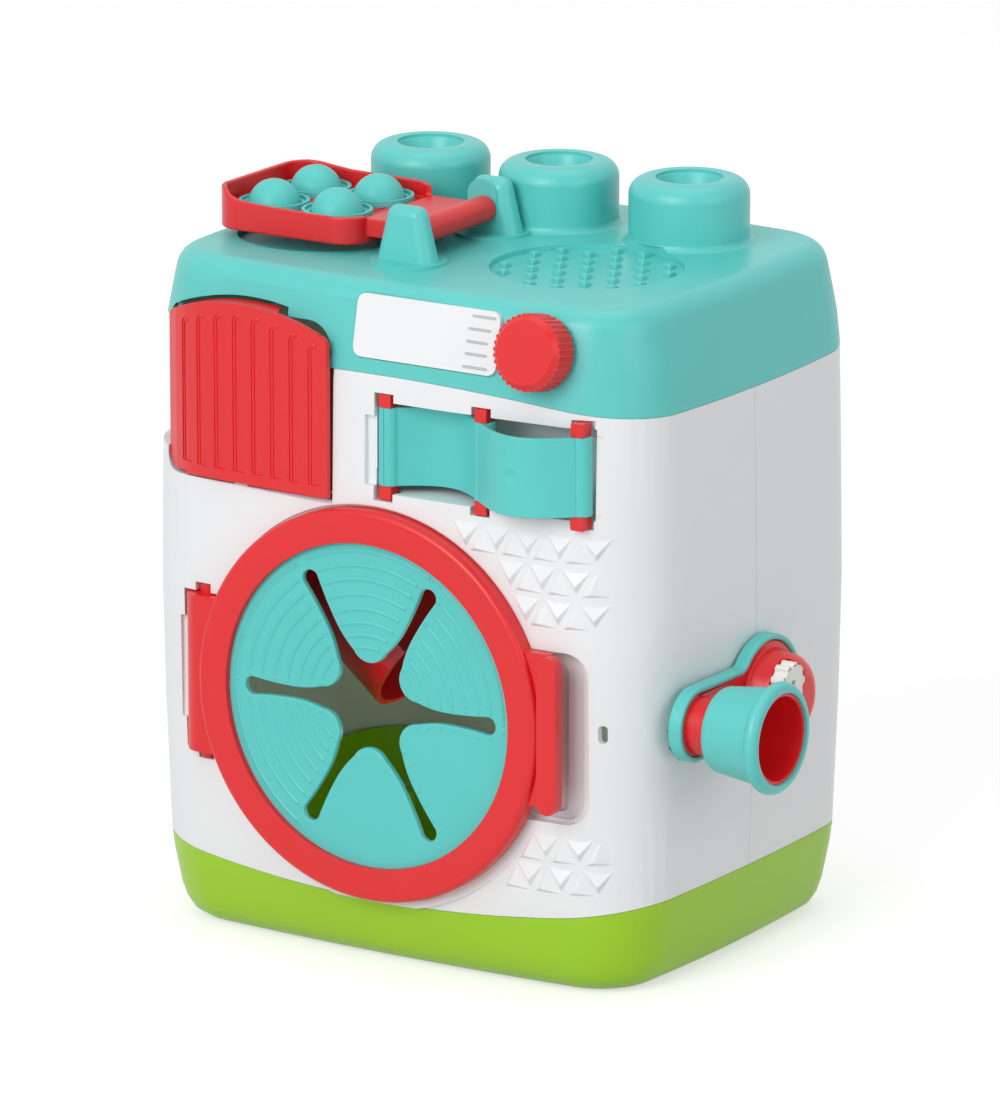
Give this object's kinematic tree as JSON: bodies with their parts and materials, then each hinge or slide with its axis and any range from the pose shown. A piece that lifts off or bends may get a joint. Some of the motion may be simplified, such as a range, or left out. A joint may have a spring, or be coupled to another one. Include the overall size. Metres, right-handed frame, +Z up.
{
  "type": "toy washing machine activity toy",
  "caption": "Toddler's toy washing machine with a petal door, ball hopper and ramp, wave band, dial, crank with cup and flip-up popper tray.",
  "frame": {"origin": "centre of the flat base, on the surface the toy stands on", "axes": "+Z up, -Y to the front with the door, +X to the side with the crank"},
  "size_m": [0.286, 0.2027, 0.3018],
  "materials": {
    "teal": "moulded, satin gloss",
    "soft_teal": "soft silicone, satin",
    "white": "moulded, satin gloss",
    "green": "moulded, satin gloss",
    "red": "moulded, satin gloss",
    "steel": "zinc plated"
  },
  "bodies": {
    "housing": {"base_tray": "green", "front_shell": "white", "rear_shell": "white", "top_cap": "teal", "badge_plate": "white", "ball_ramp": "red", "wave_band": "teal", "band_rod_left": "red", "band_rod_middle": "red", "band_rod_right": "red", "housing_screws": "steel", "door_hinge_pin": "steel", "flap_hinge_pin": "steel", "tray_hinge_pin": "steel"},
    "door": {"door_ring": "red", "petal_disc": "teal", "petal_clamp_ring": "red", "clamp_screws": "steel"},
    "flap": {"hopper_flap": "red"},
    "dial": {"dial": "red", "dial_shaft": "white", "dial_clip": "steel"},
    "tray": {"tray_frame": "red", "popper_sheet": "soft_teal"},
    "popper_a": {"popper_1": "soft_teal"},
    "popper_b": {"popper_2": "soft_teal"},
    "popper_c": {"popper_3": "soft_teal"},
    "popper_d": {"popper_4": "soft_teal"},
    "crank": {"crank_arm": "teal", "crank_cover": "red", "crank_shaft": "steel", "crank_washer": "white", "cup_spindle": "steel", "click_wheel_pin": "steel"},
    "cup": {"cup_shell": "teal", "cup_liner": "red"},
    "wheel": {"click_wheel": "white"}
  },
  "joints": [
    {"name": "door_hinge", "type": "hinge", "parent": "housing", "child": "door", "pos_m": [-0.0815, -0.089, 0.1083], "axis": [0, 0, 1], "range_deg": [-105, 0]},
    {"name": "flap_hinge", "type": "hinge", "parent": "housing", "child": "flap", "pos_m": [-0.047, -0.0916, 0.191], "axis": [1, 0, 0], "range_deg": [0, 30]},
    {"name": "dial_turn", "type": "hinge", "parent": "housing", "child": "dial", "pos_m": [0.0746, -0.0889, 0.2589], "axis": [0, -0.9806, 0.1959], "continuous": true},
    {"name": "tray_hinge", "type": "hinge", "parent": "housing", "child": "tray", "pos_m": [-0.012, -0.019, 0.2868], "axis": [0, 1, 0], "range_deg": [0, 105]},
    {"name": "bubble_a", "type": "slide", "parent": "tray", "child": "popper_a", "axis": [0, 0, 1], "range_m": [-0.0095, 0]},
    {"name": "bubble_b", "type": "slide", "parent": "tray", "child": "popper_b", "axis": [0, 0, 1], "range_m": [-0.0095, 0]},
    {"name": "bubble_c", "type": "slide", "parent": "tray", "child": "popper_c", "axis": [0, 0, 1], "range_m": [-0.0095, 0]},
    {"name": "bubble_d", "type": "slide", "parent": "tray", "child": "popper_d", "axis": [0, 0, 1], "range_m": [-0.0095, 0]},
    {"name": "crank_turn", "type": "hinge", "parent": "housing", "child": "crank", "pos_m": [0.1216, -0.004, 0.11], "axis": [1, 0, 0], "continuous": true},
    {"name": "cup_spin", "type": "hinge", "parent": "crank", "child": "cup", "pos_m": [0.1366, -0.057, 0.11], "axis": [1, 0, 0], "continuous": true},
    {"name": "wheel_spin", "type": "hinge", "parent": "crank", "child": "wheel", "pos_m": [0.1365, -0.011, 0.118], "axis": [1, 0, 0], "continuous": true}
  ]
}
